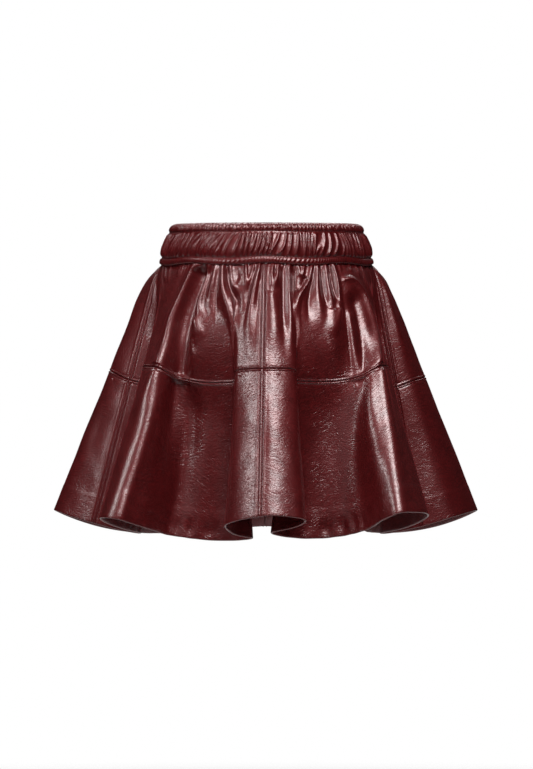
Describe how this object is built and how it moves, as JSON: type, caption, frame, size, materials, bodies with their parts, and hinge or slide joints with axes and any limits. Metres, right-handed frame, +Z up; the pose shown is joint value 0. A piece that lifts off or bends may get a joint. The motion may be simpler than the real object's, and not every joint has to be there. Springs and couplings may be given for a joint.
{
  "type": "leather skirt",
  "caption": "Short flared two-tier leather skirt with a gathered elastic waistband, filled out as if worn.",
  "frame": {"origin": "centre of the waistband, half way up its height, where it grips the waist", "axes": "+Z up out of the waist opening, -Y to the wearer's front, +X to the right in the front view"},
  "size_m": [0.5317, 0.4771, 0.395],
  "materials": {
    "band_leather": "glossy",
    "upper_leather": "glossy",
    "lower_leather": "glossy"
  },
  "bodies": {
    "root": {"waistband": "band_leather", "upper_front_left": "upper_leather", "upper_front_right": "upper_leather", "upper_back_left": "upper_leather", "upper_back_right": "upper_leather", "lower_front_left": "lower_leather", "lower_front_right": "lower_leather", "lower_back_left": "lower_leather", "lower_back_right": "lower_leather"}
  },
  "joints": []
}
